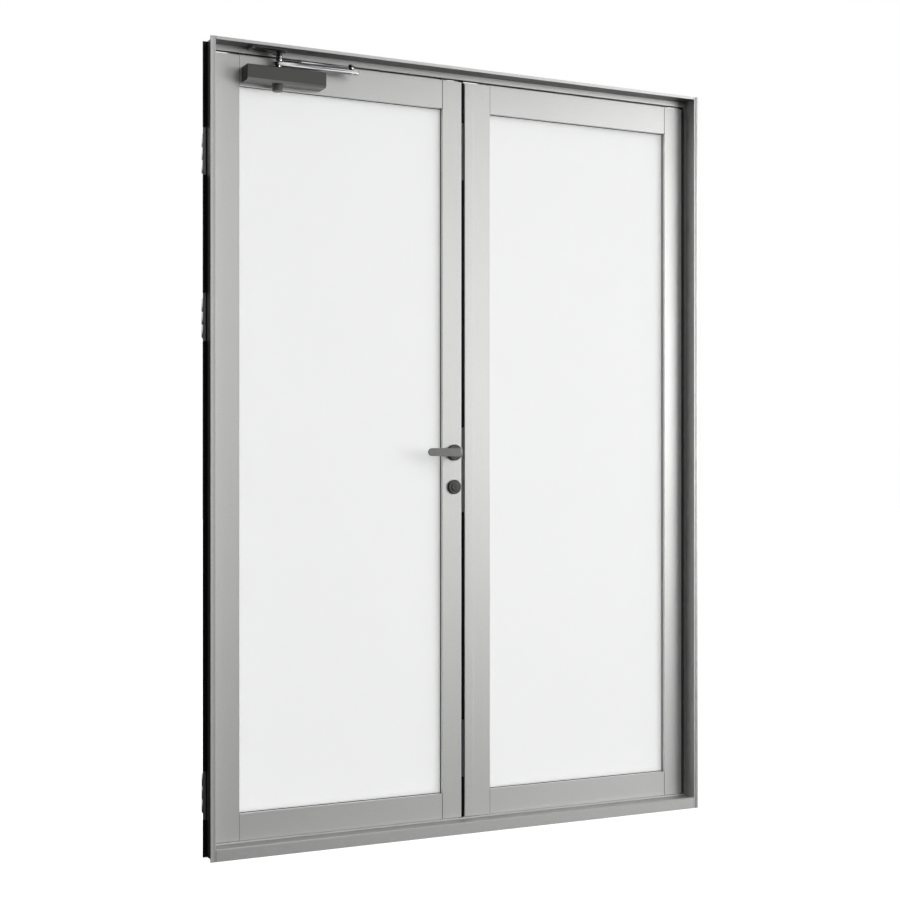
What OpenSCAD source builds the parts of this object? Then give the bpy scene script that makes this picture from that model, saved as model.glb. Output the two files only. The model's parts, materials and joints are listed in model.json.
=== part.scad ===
// Outward opening double door of hollow aluminium sections, with glass in both leaves.
// Millimetres. Z is up, Y points to the outside, and the leaves swing towards +Y.
// The origin is the centre of the sill's underside.

/* [Frame] */
// Width over both jambs
frame_w = 1500; // [1300:10:1900]
// Height from the sill's underside to the top of the head
frame_h = 2100; // [1950:10:2400]
// Depth of the frame sections, from the room side to the outside
frame_d = 92; // [90:1:110]
// Wall thickness of the frame sections
frame_wall = 3; // [2:0.5:4]
// Width of the narrow face that the jambs show to the room
jamb_face_w = 14; // [12:1:20]
// Height of the narrow face that the head shows to the room
head_face_h = 8; // [7:1:16]
// Height of the sill's room-side face
sill_h = 32; // [28:1:45]
// Height of the sill at the foot of its step
sill_back_h = 18; // [14:1:20]
// Fall of the sill's outer top towards the outside
sill_fall = 4; // [2:1:6]
// Distance of the wall anchor leg behind the stop lip
anchor_gap = 7; // [5:1:9]
// Depth of the step along the middle of a jamb's face
face_step = 0.6; // [0.4:0.1:1]

/* [Stops and seals] */
// Thickness of the stop lip behind the reveal
lip_d = 10; // [8:1:12]
// Width of the stop lip on the jambs
jamb_lip_w = 4.5; // [4:0.5:6]
// Height of the stop lip under the head
head_lip_h = 15; // [12:1:18]
// Width of the rubber seal that reaches past the jamb's lip
seal_reach = 4.5; // [4:0.5:5]
// Clearance between a rubber seal and the leaf that closes on it
seal_gap = 0.3; // [0.2:0.1:0.5]

/* [Leaves] */
// Thickness of a leaf
leaf_t = 45; // [42:1:48]
// Distance of the leaves' outer faces inside the frame's outer face
leaf_inset = 1; // [0.5:0.5:3]
// Gap between a jamb and the edge of the leaf's outer flange
side_gap = 5; // [4.6:0.1:6]
// Gap between the head and the top of the leaf's outer flange
top_gap = 10; // [8:1:10]
// Gap between the sill's outer top and the leaf's outer flange
foot_gap = 7; // [6:1:8]
// Gap between the top of the sill's step and the leaf's inner part
sill_gap = 5; // [4:1:7]
// Width of the outer flange that closes over the seals
rebate_w = 9; // [8:1:12]
// Height of the outer flange above the leaf's inner part
rebate_top = 11; // [10:1:14]
// Depth of the leaf's inner part in front of the flange
rebate_d = 15; // [14:1:18]
// Width of the gap between the two leaves
meeting_gap = 9; // [8:0.5:12]
// Distance of that gap's middle from the middle of the frame, towards the working leaf
meeting_offset = 8.3; // [0:0.1:40]
// Visible width of the working leaf's hinge stile
active_hinge_stile_w = 64.5; // [56:0.5:80]
// Visible width of the working leaf's lock stile
active_lock_stile_w = 57.5; // [54:0.5:80]
// Visible width of the resting leaf's hinge stile
inactive_hinge_stile_w = 60; // [56:0.5:80]
// Width of the resting leaf's meeting stile, cover strip included
inactive_meeting_stile_w = 80.5; // [72:0.5:100]
// Visible height of the top rails
top_rail_h = 78; // [70:1:100]
// Visible height of the bottom rails
bottom_rail_h = 69.5; // [60:0.5:120]
// Wall thickness of the leaf sections
leaf_wall = 2.5; // [2:0.5:3]
// Thickness of the leg that the glass rests on
leg_t = 12; // [10:1:14]
// Depth of the glazing pocket
pocket_w = 18; // [16:1:20]

/* [Glazing] */
// Thickness of the glass
glass_t = 8; // [6:1:10]
// How far the glass reaches into its pocket
glass_cover = 12; // [9:1:14]
// Thickness of the rubber on each side of the glass
glazing_seal_t = 3; // [2:0.5:4]
// How far the rubber stands past the section's edge
glazing_seal_proud = 1; // [0:0.25:1.5]
// Slope of the bead's visible face
bead_slope = 4; // [2:1:6]

/* [Meeting stiles] */
// Depth of the groove for the rubber along a meeting edge
edge_seal_t = 3; // [2:0.5:4]
// Width of metal left beside that groove
edge_land = 2.5; // [2:0.5:4]
// How far the rubber fin stands out of the meeting edge
fin_reach = 2; // [1:0.5:2]
// Thickness of the rubber fin
fin_t = 3; // [2:0.5:4]
// Width of the cover strip on the resting leaf
strip_w = 27; // [20:1:40]
// Thickness of the cover strip
strip_t = 3; // [2:0.5:4]
// Distance of the strip's ends from the leaf's inner top and bottom edges
strip_end = 3; // [1:1:20]
// Height of the cap on each end of the strip
strip_cap_h = 8; // [6:1:14]

/* [Hinges] */
// Radius of a hinge barrel
barrel_r = 8; // [7:0.5:9]
// Length of a hinge barrel
barrel_len = 100; // [80:1:130]
// Radius of the hinge pin
hinge_pin_r = 4; // [3:0.5:5]
// Radial clearance round a pin
pin_clear = 0.06; // [0.03:0.01:0.1]
// How far the cap of a hinge pin reaches past the pin
hinge_cap_rim = 2; // [1:0.5:3]
// Height of the cap of a hinge pin
hinge_cap_h = 3; // [2:0.5:5]
// Clearance between hinge knuckles along the pin
knuckle_gap = 0.4; // [0.3:0.1:1]
// Thickness of a hinge plate
hinge_plate_t = 2.1; // [1.8:0.1:2.2]
// Depth of a hinge plate inside the joint
hinge_plate_d = 25; // [20:1:28]
// Clearance between the barrel and the frame's outer edge
barrel_gap = 0.5; // [0.3:0.1:2]
// Height of the top hinge's centre
hinge_top_z = 1818; // [1700:1:2300]
// Height of the middle hinge's centre
hinge_mid_z = 1391; // [900:1:1600]
// Height of the bottom hinge's centre
hinge_low_z = 159; // [140:1:400]
// Height of the plate that backs a hinge inside the jamb's outer channel
backing_h = 124; // [104:1:150]
// Thickness of that plate
backing_t = 3; // [2:0.5:4]

/* [Lock and handles] */
// Distance of the handle's axis from the working leaf's meeting edge
backset = 22.7; // [22:0.1:40]
// Height of the handle's axis
handle_z = 1046; // [900:1:1150]
// Distance of the cylinder below the handle
cylinder_drop = 95; // [72:1:110]
// Radius of the handle's rose
rose_r = 22; // [18:0.5:22]
// Thickness of the handle's rose
rose_t = 7; // [5:1:10]
// Radius of the ring round the lock cylinder
ring_r = 19.5; // [16:0.5:22]
// Thickness of the ring round the lock cylinder
ring_t = 6; // [4:1:8]
// Radius of the lock cylinder
cylinder_r = 10; // [8:0.5:11]
// How far the cylinder stands out of its ring
cylinder_proud = 2; // [1:0.5:4]
// Distance of the lever's tip from its axis
lever_len = 96; // [80:1:130]
// Height of the lever's bar
lever_h = 22; // [16:1:26]
// Thickness of the lever's bar
lever_t = 9; // [7:1:12]
// How far the lever stands off the leaf
lever_reach = 42; // [38:1:60]
// Radius of the lever's neck
neck_r = 9; // [7:0.5:10]
// Height of the lock's faceplate
faceplate_h = 235; // [200:5:270]
// Width of the lock's faceplate
faceplate_w = 22; // [18:1:26]
// How far the latch stands out of its faceplate
latch_proud = 2.5; // [1:0.5:3]
// Height of the latch
latch_h = 28; // [20:1:34]
// Thickness of the latch and the bolt
latch_w = 11; // [8:1:12]
// Height of the bolt
bolt_h = 40; // [26:1:44]
// How far the bolt stands out of the faceplate
bolt_proud = 0.8; // [0.4:0.1:1.5]
// Height of a flush bolt's faceplate
flush_h = 160; // [120:5:220]
// Distance of a flush bolt's middle from the end of its leaf
flush_end = 200; // [150:10:400]

/* [Closer] */
// Length of the closer's body
closer_len = 217; // [200:1:260]
// Height of the closer's body
closer_h = 40; // [36:1:50]
// Distance of the body's hinge end from the frame's outer edge
closer_at = 99; // [95:1:150]
// Distance of the body's underside below the leaf's inner top edge
closer_drop = 71; // [66:1:74]
// Depth of the closer's body
closer_d = 46; // [40:1:50]
// Size of the bevel along the body's lower front edge
closer_bevel = 5; // [2:1:8]
// Distance of the spindle from the frame's outer edge
spindle_at = 188; // [170:1:200]
// Distance of the spindle in front of the leaf's face
spindle_off = 24; // [21:1:26]
// Radius of the spindle
spindle_r = 7; // [6:0.5:8]
// Radius of the round cap under the body
cap_r = 13.5; // [11:0.5:15]
// Height of the round cap under the body
cap_h = 19; // [12:1:24]
// Distance of the elbow from the frame's outer edge
elbow_at = 392; // [370:1:420]
// Distance of the elbow in front of the leaf's face
elbow_off = 32; // [28:1:34]
// Distance of the bracket's pivot from the frame's outer edge
bracket_pivot_at = 192; // [185:1:205]
// Distance of the bracket's pivot in front of the leaf's face
bracket_pivot_off = 26; // [22:1:28]
// Thickness of the main arm
arm_t = 8; // [6:1:9]
// Height of the spindle between the body and the main arm
spindle_h = 8; // [6:1:10]
// Vertical gap between the two arms
arm_gap = 3; // [2:0.5:4]
// Radius of the forearm's tube
tube_r = 4.5; // [4:0.5:5]
// Radius of the pins at the ends of the arms
arm_pin_r = 4; // [3:0.5:5]
// Clearance at the open pivot between the forearm and its bracket
open_pivot_gap = 0.6; // [0.4:0.1:0.9]
// Thickness of the bracket's plate
bracket_t = 6; // [4:1:8]
// Length of the bracket's plate
bracket_len = 102; // [80:1:120]
// Depth of the bracket's plate
bracket_d = 34; // [30:1:36]
// Distance of the bracket's plate in front of the stop lip
bracket_gap = 7; // [5:1:10]
// How far the plate reaches past its pivot
bracket_past = 22; // [12:1:26]
// Radius of the bracket's pivot stud
stud_r = 7; // [6:0.5:8]
// Length of the rib that backs the stud
rib_run = 50; // [30:1:60]
// Height of the rib under the plate
rib_drop = 12; // [8:1:12]
// Thickness of the rib
rib_t = 5; // [4:0.5:7]

/* [Wall fixings] */
// Distance between the fixing holes in a jamb
fixing_pitch = 550; // [450:10:600]
// Height of the middle fixing hole
fixing_z = 1050; // [1000:10:1100]
// Radius of a fixing hole
fixing_r = 3.3; // [2.5:0.1:4]
// Distance of the fixing holes inside the frame's outer face
fixing_inset = 12; // [10:1:16]

/* [Hidden] */
$fn = 48;

satin = [0.74, 0.74, 0.73];
rubber = [0.08, 0.08, 0.08];
steel = [0.62, 0.63, 0.65];
dark_paint = [0.24, 0.24, 0.23];
bright = [0.86, 0.87, 0.88];
dark_metal = [0.42, 0.42, 0.42];

half_w = frame_w / 2;
front_y = -frame_d / 2;
reveal_d = frame_d - leaf_t - leaf_inset;
leaf_y = front_y + reveal_d;
anchor_at = reveal_d + lip_d + anchor_gap;
soffit_z = frame_h - head_face_h;
lip_z = soffit_z - head_lip_h;

// Heights of the leaves: the outer flange reaches past the inner part at top and foot.
leaf_foot_z = sill_back_h + foot_gap;
leaf_top_z = soffit_z - top_gap;
inner_foot_z = sill_h + sill_gap;
inner_top_z = leaf_top_z - rebate_top;
leaf_h = leaf_top_z - leaf_foot_z;

// Plan of the leaves, measured from the frame's outer edges.
leaf_edge = jamb_face_w + side_gap;
active_w = half_w - meeting_offset - meeting_gap / 2 - leaf_edge;
inactive_w = half_w + meeting_offset - meeting_gap / 2 - leaf_edge;

glass_y = leg_t + glazing_seal_t;
bead_y = glass_y + glass_t + glazing_seal_t;
glass_foot_z = inner_foot_z + bottom_rail_h;
glass_top_z = inner_top_z - top_rail_h;

// The hinge axis runs in the middle of the side gap, just outside the frame.
hinge_at = jamb_face_w + side_gap / 2;
hinge_y = front_y + frame_d + barrel_gap + barrel_r;
hinge_z = [hinge_low_z, hinge_mid_z, hinge_top_z];
knuckle_h = (barrel_len - 2 * knuckle_gap) / 3;
hinge_cap_r = hinge_pin_r + hinge_cap_rim;

cylinder_z = handle_z - cylinder_drop;
lock_z = handle_z - cylinder_drop / 2;
lock_y = leaf_t / 2;
handle_x = active_w - backset;
flush_z = [leaf_foot_z + flush_end, leaf_top_z - flush_end];

// Visible widths of a leaf's hinge stile and meeting stile, with the whole leaf's width.
active_faces = [active_hinge_stile_w, active_lock_stile_w, active_w];
inactive_faces = [inactive_hinge_stile_w, inactive_meeting_stile_w, inactive_w];

// Middle and height of each plate that takes the place of a meeting edge's rubber.
active_breaks = [[lock_z, faceplate_h]];
inactive_breaks = [[lock_z, faceplate_h], [flush_z[0], flush_h], [flush_z[1], flush_h]];

strip_foot_z = inner_foot_z + strip_end;
strip_top_z = inner_top_z - strip_end;

// Heights of the closer's pieces, from its body up to the frame's bracket.
closer_z = inner_top_z - closer_drop;
arm_z = closer_z + closer_h + spindle_h;
forearm_z = arm_z + arm_t + arm_gap;
forearm_top_z = forearm_z + 2 * tube_r;
bracket_z = soffit_z - bracket_t;

// Pivots of the closer in plan, from the frame's left outer edge and room-side face.
spindle = [spindle_at, reveal_d - spindle_off];
elbow = [elbow_at, reveal_d - elbow_off];
bracket_pin = [bracket_pivot_at, reveal_d - bracket_pivot_off];

// Draws a section whose x runs upwards as a bar of the given length along X.
module lying(len) {
    rotate([0, -90, 0])
        linear_extrude(len, center = true)
            children();
}

// Puts a piece drawn from the frame's left outer edge and room-side face in place.
module from_left() {
    translate([-half_w, front_y, 0])
        children();
}

// The same for the right side, mirrored.
module from_right() {
    mirror([1, 0, 0])
        from_left()
            children();
}

// Puts a piece drawn from the edge and face of the working leaf in place.
module in_active_leaf() {
    translate([-half_w + leaf_edge, leaf_y, 0])
        children();
}

// The same for the resting leaf, mirrored.
module in_inactive_leaf() {
    mirror([1, 0, 0])
        in_active_leaf()
            children();
}

// Section of a jamb, with x inwards from its outer edge and y from the room side.
module jamb_section() {
    web_x = jamb_face_w - frame_wall;
    return_w = 5;
    difference() {
        square([jamb_face_w, frame_wall]);
        translate([jamb_face_w / 2, -face_step])
            square([jamb_face_w, 2 * face_step]);
    }
    translate([web_x, face_step])
        square([frame_wall, frame_d - face_step]);
    translate([jamb_face_w - return_w, frame_d - frame_wall])
        square([return_w, frame_wall]);
    translate([jamb_face_w - frame_wall, reveal_d])
        square([frame_wall + jamb_lip_w, lip_d]);
}

// A whole jamb: its lip stops at the sill and the head, its anchor leg at the hinges.
module jamb() {
    difference() {
        union() {
            linear_extrude(frame_h)
                jamb_section();
            translate([0, anchor_at, 0])
                cube([jamb_face_w - 1, frame_wall, frame_h]);
        }
        for (z = [-frame_h + sill_h, lip_z])
            translate([jamb_face_w, reveal_d - 1, z])
                cube([jamb_lip_w + 1, lip_d + 2, frame_h]);
        for (z = hinge_z)
            translate([-1, anchor_at - 1, z - backing_h / 2])
                cube([jamb_face_w - frame_wall + 1, frame_wall + 2, backing_h]);
        for (step = [-1:1])
            translate([-1, frame_d - fixing_inset, fixing_z + step * fixing_pitch])
                rotate([0, 90, 0])
                    cylinder(h = jamb_face_w + 2, r = fixing_r);
    }
}

module left_jamb() {
    color(satin)
        from_left()
            jamb();
}

module right_jamb() {
    color(satin)
        from_right()
            jamb();
}

// Section of the head, with x downwards from its top and y from the room side.
module head_section() {
    lip_wall = 2;
    web_x = head_face_h - frame_wall;
    square([head_face_h, frame_wall]);
    translate([web_x, 0])
        square([frame_wall, frame_d]);
    translate([0, anchor_at])
        square([web_x + 1, frame_wall]);
    translate([0, frame_d - frame_wall])
        square([web_x + 1, frame_wall]);
    difference() {
        translate([web_x, reveal_d])
            square([frame_wall + head_lip_h, lip_d]);
        translate([head_face_h, reveal_d + lip_wall])
            square([head_lip_h - lip_wall, lip_d - 2 * lip_wall]);
    }
}

module head() {
    color(satin)
        translate([0, front_y, frame_h])
            mirror([0, 0, 1])
                lying(frame_w - 2 * jamb_face_w)
                    head_section();
}

// Section of the sill, with x upwards and y from the room side: a box with a step.
module sill_section() {
    step_y = reveal_d + lip_d;
    edge = 1.5;
    low_h = sill_back_h - sill_fall;
    difference() {
        polygon([[0, 0], [sill_h - 2 * edge, 0], [sill_h - 2 * edge, edge / 2],
            [sill_h, 2 * edge], [sill_h, step_y], [sill_back_h, step_y],
            [low_h, frame_d], [0, frame_d]]);
        translate([frame_wall, frame_wall])
            square([sill_h - 2 * frame_wall - edge, step_y / 2 - 1.5 * frame_wall]);
        translate([frame_wall, step_y / 2 + frame_wall / 2])
            square([sill_h - 2 * frame_wall, step_y / 2 - 1.5 * frame_wall]);
        translate([frame_wall, step_y])
            square([low_h - 2 * frame_wall, frame_d - step_y - frame_wall]);
    }
}

module sill() {
    color(satin)
        translate([0, front_y, 0])
            lying(frame_w - 2 * jamb_face_w)
                sill_section();
}

// Rubber seals behind the stop lips, which the leaves' outer flanges close on.
module frame_seals() {
    seal_t = rebate_d - lip_d - seal_gap;
    seal_drop = 3;
    seal_foot_z = leaf_foot_z - seal_drop;
    jamb_seal_w = jamb_lip_w + seal_reach;
    color(rubber)
        translate([0, front_y + reveal_d + lip_d, 0]) {
            for (side = [0, 1])
                mirror([side, 0, 0])
                    translate([-half_w + jamb_face_w, 0, sill_h])
                        cube([jamb_seal_w, seal_t, soffit_z - sill_h]);
            translate([-half_w + jamb_face_w + jamb_seal_w, 0, lip_z])
                cube([frame_w - 2 * (jamb_face_w + jamb_seal_w), seal_t, head_lip_h]);
            translate([-half_w + jamb_face_w, 0, seal_foot_z])
                cube([frame_w - 2 * jamb_face_w, seal_t, sill_h - seal_foot_z]);
        }
}

// The half of a hinge that the frame carries: plate, two knuckles and the pin.
module hinge_frame_half() {
    plate_x = jamb_face_w - hinge_at;
    plate_front = -(hinge_y - front_y - frame_d) - hinge_plate_d;
    low = -barrel_len / 2;
    difference() {
        union() {
            translate([plate_x, plate_front, low])
                cube([hinge_plate_t, hinge_plate_d, barrel_len]);
            for (z = [low, low + 2 * (knuckle_h + knuckle_gap)]) {
                translate([0, 0, z])
                    cylinder(h = knuckle_h, r = barrel_r);
                translate([plate_x, plate_front, z])
                    cube([hinge_plate_t, -plate_front, knuckle_h]);
            }
        }
        translate([-2 * barrel_r, -barrel_r - barrel_gap, low + knuckle_h])
            cube([4 * barrel_r, 4 * barrel_r, knuckle_h + 2 * knuckle_gap]);
    }
    translate([0, 0, low - hinge_cap_h])
        cylinder(h = hinge_cap_h, r = hinge_cap_r);
    translate([0, 0, -low])
        cylinder(h = hinge_cap_h, r = hinge_cap_r);
    translate([0, 0, low - 1])
        cylinder(h = barrel_len + 2, r = hinge_pin_r);
}

// The half that a leaf carries: plate and middle knuckle.
module hinge_leaf_half() {
    plate_x = side_gap / 2 - hinge_plate_t;
    leaf_back = front_y + reveal_d + leaf_t - hinge_y;
    plate_front = leaf_back - hinge_plate_d;
    mid = -barrel_len / 2 + knuckle_h + knuckle_gap;
    difference() {
        union() {
            translate([plate_x, plate_front, -barrel_len / 2])
                cube([hinge_plate_t, hinge_plate_d, barrel_len]);
            translate([plate_x, plate_front, mid])
                cube([hinge_plate_t, -plate_front, knuckle_h]);
            translate([0, 0, mid])
                cylinder(h = knuckle_h, r = barrel_r);
        }
        translate([0, 0, mid - 1])
            cylinder(h = knuckle_h + 2, r = hinge_pin_r + pin_clear);
    }
}

module at_hinges() {
    for (z = hinge_z)
        translate([hinge_at, hinge_y - front_y, z])
            children();
}

module left_hinge_frame_halves() {
    color(steel)
        from_left()
            at_hinges()
                hinge_frame_half();
}

module right_hinge_frame_halves() {
    color(steel)
        from_right()
            at_hinges()
                hinge_frame_half();
}

module active_hinge_leaf_halves() {
    color(steel)
        from_left()
            at_hinges()
                hinge_leaf_half();
}

module inactive_hinge_leaf_halves() {
    color(steel)
        from_right()
            at_hinges()
                hinge_leaf_half();
}

// Plates in the jambs' outer channels that the hinge screws bite into.
module hinge_backing_plates() {
    plate_y = anchor_at + frame_wall;
    color(dark_metal)
        for (side = [0, 1])
            mirror([side, 0, 0])
                from_left()
                    for (z = hinge_z)
                        translate([jamb_face_w - frame_wall - backing_t, plate_y, z - backing_h / 2])
                            cube([backing_t, frame_d - frame_wall - plate_y, backing_h]);
}

// Section of a leaf bar: x from its outer edge, y from the room side.
// The leg at the far end carries the glass, and the flange at the near end is optional.
module bar_section(face, flange) {
    end = flange + face;
    back_end = end - pocket_w;
    wall = leaf_wall;
    difference() {
        union() {
            translate([flange, 0])
                square([face, leg_t]);
            translate([flange, 0])
                square([back_end - flange, leaf_t]);
            if (flange > 0)
                translate([0, rebate_d])
                    square([flange + 1, leaf_t - rebate_d]);
        }
        translate([flange + wall, wall])
            square([back_end - flange - 2 * wall, leaf_t - 2 * wall]);
        translate([back_end, wall])
            square([pocket_w - wall, leg_t - 2 * wall]);
        if (flange > 2 * wall)
            translate([wall, rebate_d + wall])
                square([flange - wall, leaf_t - rebate_d - 2 * wall]);
    }
}

// Cuts the inner part of a stile back to the leaf's inner top and bottom edges.
module stile_ends(width) {
    difference() {
        children();
        translate([-1, -1, leaf_foot_z - 1])
            cube([width + 2, rebate_d + 1, inner_foot_z - leaf_foot_z + 1]);
        translate([-1, -1, inner_top_z])
            cube([width + 2, rebate_d + 1, rebate_top + 1]);
    }
}

module hinge_stile(face) {
    stile_ends(rebate_w + face)
        translate([0, 0, leaf_foot_z])
            linear_extrude(leaf_h)
                bar_section(face, rebate_w);
}

// A meeting stile has no flange: its edge holds a groove for the rubber and the lock plates.
module meeting_stile(face, leaf_w) {
    translate([leaf_w, 0, 0])
        mirror([1, 0, 0])
            stile_ends(face)
                difference() {
                    translate([0, 0, leaf_foot_z])
                        linear_extrude(leaf_h)
                            union() {
                                bar_section(face, 0);
                                translate([0, edge_land])
                                    square([edge_seal_t + leaf_wall, leaf_t - 2 * edge_land]);
                            }
                    translate([-1, edge_land, leaf_foot_z - 1])
                        cube([edge_seal_t + 1, leaf_t - 2 * edge_land, leaf_h + 2]);
                }
}

// A rail reaches between the stiles: its leg stops at theirs, its back fills their pockets.
module rail(face, flange, hinge_face, lock_face, leaf_w) {
    x0 = rebate_w + hinge_face;
    x1 = leaf_w - lock_face;
    span = x1 - x0;
    translate([(x0 + x1) / 2, 0, 0])
        difference() {
            lying(span + 2 * pocket_w)
                bar_section(face, flange);
            for (side = [0, 1])
                mirror([side, 0, 0])
                    translate([span / 2, -1, -1])
                        cube([pocket_w + 1, leg_t + 1, face + flange + 2]);
        }
}

module top_rail(hinge_face, lock_face, leaf_w) {
    translate([0, 0, leaf_top_z])
        mirror([0, 0, 1])
            rail(top_rail_h, rebate_top, hinge_face, lock_face, leaf_w);
}

module bottom_rail(hinge_face, lock_face, leaf_w) {
    translate([0, 0, leaf_foot_z])
        rail(bottom_rail_h, inner_foot_z - leaf_foot_z, hinge_face, lock_face, leaf_w);
}

// A slab over the glass opening of a leaf, grown outwards on all four sides.
module over_opening(hinge_face, lock_face, leaf_w, grow, y, t) {
    x0 = rebate_w + hinge_face - grow;
    translate([x0, y, glass_foot_z - grow])
        cube([leaf_w - lock_face + grow - x0, t, glass_top_z - glass_foot_z + 2 * grow]);
}

module glass_pane(hinge_face, lock_face, leaf_w) {
    over_opening(hinge_face, lock_face, leaf_w, glass_cover, glass_y, glass_t);
}

// Rubber rings on both faces of the glass.
module glazing_seals(hinge_face, lock_face, leaf_w) {
    hidden = 7;
    color(rubber)
        for (y = [leg_t, glass_y + glass_t])
            difference() {
                over_opening(hinge_face, lock_face, leaf_w, hidden, y, glazing_seal_t);
                over_opening(hinge_face, lock_face, leaf_w, -glazing_seal_proud, y - 1,
                    glazing_seal_t + 2);
            }
}

// Section of a glazing bead: x from the edge of the opening into the pocket.
module bead_section() {
    wall = 2;
    difference() {
        polygon([[0, bead_y], [pocket_w, bead_y], [pocket_w, leaf_t], [bead_slope, leaf_t],
            [0, bead_y + wall]]);
        polygon([[wall + 1, bead_y + wall], [pocket_w - wall, bead_y + wall],
            [pocket_w - wall, leaf_t - wall], [bead_slope + wall, leaf_t - wall]]);
    }
}

// Four beads hold the glass from the outside: the upright ones run through.
module glazing_beads(hinge_face, lock_face, leaf_w) {
    x0 = rebate_w + hinge_face;
    x1 = leaf_w - lock_face;
    joint = 0.2;
    color(satin) {
        for (end = [0, 1])
            translate([end * (x0 + x1), 0, glass_foot_z - pocket_w])
                mirror([end, 0, 0])
                    translate([x0, 0, 0])
                        mirror([1, 0, 0])
                            linear_extrude(glass_top_z - glass_foot_z + 2 * pocket_w)
                                bead_section();
        for (end = [0, 1])
            translate([(x0 + x1) / 2, 0, end * (glass_foot_z + glass_top_z)])
                mirror([0, 0, end])
                    translate([0, 0, glass_foot_z])
                        mirror([0, 0, 1])
                            lying(x1 - x0 - 2 * joint)
                                bead_section();
    }
}

// Rubber in the groove of a meeting edge, left out where plates sit in the groove.
module edge_seal(leaf_w, breaks) {
    fin_y = leaf_t - edge_land - 2 * fin_t;
    color(rubber)
        translate([leaf_w, 0, 0])
            mirror([1, 0, 0])
                difference() {
                    union() {
                        translate([0, edge_land, leaf_foot_z])
                            cube([edge_seal_t, leaf_t - 2 * edge_land, leaf_h]);
                        translate([-fin_reach, fin_y, leaf_foot_z])
                            cube([edge_seal_t, fin_t, leaf_h]);
                    }
                    translate([-fin_reach - 1, -1, leaf_foot_z - 1])
                        cube([edge_seal_t + fin_reach + 2, rebate_d + 1,
                            inner_foot_z - leaf_foot_z + 1]);
                    translate([-fin_reach - 1, -1, inner_top_z])
                        cube([edge_seal_t + fin_reach + 2, rebate_d + 1, rebate_top + 1]);
                    for (b = breaks)
                        translate([-fin_reach - 1, -1, b[0] - b[1] / 2])
                            cube([edge_seal_t + fin_reach + 2, leaf_t + 2, b[1]]);
                }
}

module active_hinge_stile() {
    color(satin)
        in_active_leaf()
            hinge_stile(active_hinge_stile_w);
}

module active_lock_stile() {
    color(satin)
        in_active_leaf()
            difference() {
                meeting_stile(active_lock_stile_w, active_w);
                stile_bore(cylinder_z, cylinder_r);
                stile_bore(handle_z, neck_r);
            }
}

// A hole through the lock stile for the cylinder or the levers' neck.
module stile_bore(z, r) {
    translate([handle_x, -1, z])
        rotate([-90, 0, 0])
            cylinder(h = leaf_t + 2, r = r + pin_clear);
}

module active_top_rail() {
    color(satin)
        in_active_leaf()
            top_rail(active_faces[0], active_faces[1], active_faces[2]);
}

module active_bottom_rail() {
    color(satin)
        in_active_leaf()
            bottom_rail(active_faces[0], active_faces[1], active_faces[2]);
}

module active_glass() {
    color([0.9, 0.92, 0.92, 0.5])
        in_active_leaf()
            glass_pane(active_faces[0], active_faces[1], active_faces[2]);
}

module active_glazing_beads() {
    in_active_leaf()
        glazing_beads(active_faces[0], active_faces[1], active_faces[2]);
}

module active_glazing_seals() {
    in_active_leaf()
        glazing_seals(active_faces[0], active_faces[1], active_faces[2]);
}

module active_edge_seal() {
    in_active_leaf()
        edge_seal(active_w, active_breaks);
}

// Plate in the edge of a leaf, drawn from the meeting edge with its face flush.
module edge_plate(h, z) {
    corner = 4;
    translate([0, lock_y, z])
        rotate([90, 0, 90])
            linear_extrude(edge_seal_t)
                round_cornered_plate(faceplate_w, h, corner);
}

// A plate with four round corners.
module round_cornered_plate(w, h, r) {
    square([w, h - 2 * r], center = true);
    square([w - 2 * r, h], center = true);
    for (x = [-1, 1], z = [-1, 1])
        translate([x * (w / 2 - r), z * (h / 2 - r)])
            circle(r);
}

// Lock faceplate with the tip of a latch and of a hook bolt, both drawn back.
module lock_faceplate() {
    color(steel)
        in_active_leaf()
            translate([active_w, lock_y, 0]) {
                translate([-edge_seal_t, -lock_y, 0])
                    edge_plate(faceplate_h, lock_z);
                translate([0, 0, handle_z - latch_h / 2])
                    latch_tip();
                translate([-1, -latch_w / 2, cylinder_z - bolt_h / 2])
                    cube([1 + bolt_proud, latch_w, bolt_h]);
            }
}

// Tip of the latch, bevelled on the side that meets the strike plate as the leaf shuts.
module latch_tip() {
    linear_extrude(latch_h)
        polygon([[-1, -latch_w / 2], [latch_proud / 4, -latch_w / 2], [latch_proud, latch_w / 4],
            [latch_proud, latch_w / 2], [-1, latch_w / 2]]);
}

// Round roses under both levers.
module handle_roses() {
    rim = 1;
    color(dark_metal)
        in_active_leaf()
            for (side = [0, 1])
                translate([handle_x, side * leaf_t, handle_z])
                    rotate([side == 0 ? 90 : -90, 0, 0])
                        difference() {
                            union() {
                                cylinder(h = rose_t - rim, r = rose_r);
                                cylinder(h = rose_t, r = rose_r - rim);
                            }
                            translate([0, 0, -1])
                                cylinder(h = rose_t + 2, r = neck_r + pin_clear);
                        }
}

// Rings round both ends of the lock cylinder.
module cylinder_rings() {
    rim = 1;
    color(dark_metal)
        in_active_leaf()
            for (side = [0, 1])
                translate([handle_x, side * leaf_t, cylinder_z])
                    rotate([side == 0 ? 90 : -90, 0, 0])
                        difference() {
                            union() {
                                cylinder(h = ring_t - rim, r = ring_r);
                                cylinder(h = ring_t, r = ring_r - rim);
                            }
                            translate([0, 0, -1])
                                cylinder(h = ring_t + 2, r = cylinder_r + pin_clear);
                        }
}

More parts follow.
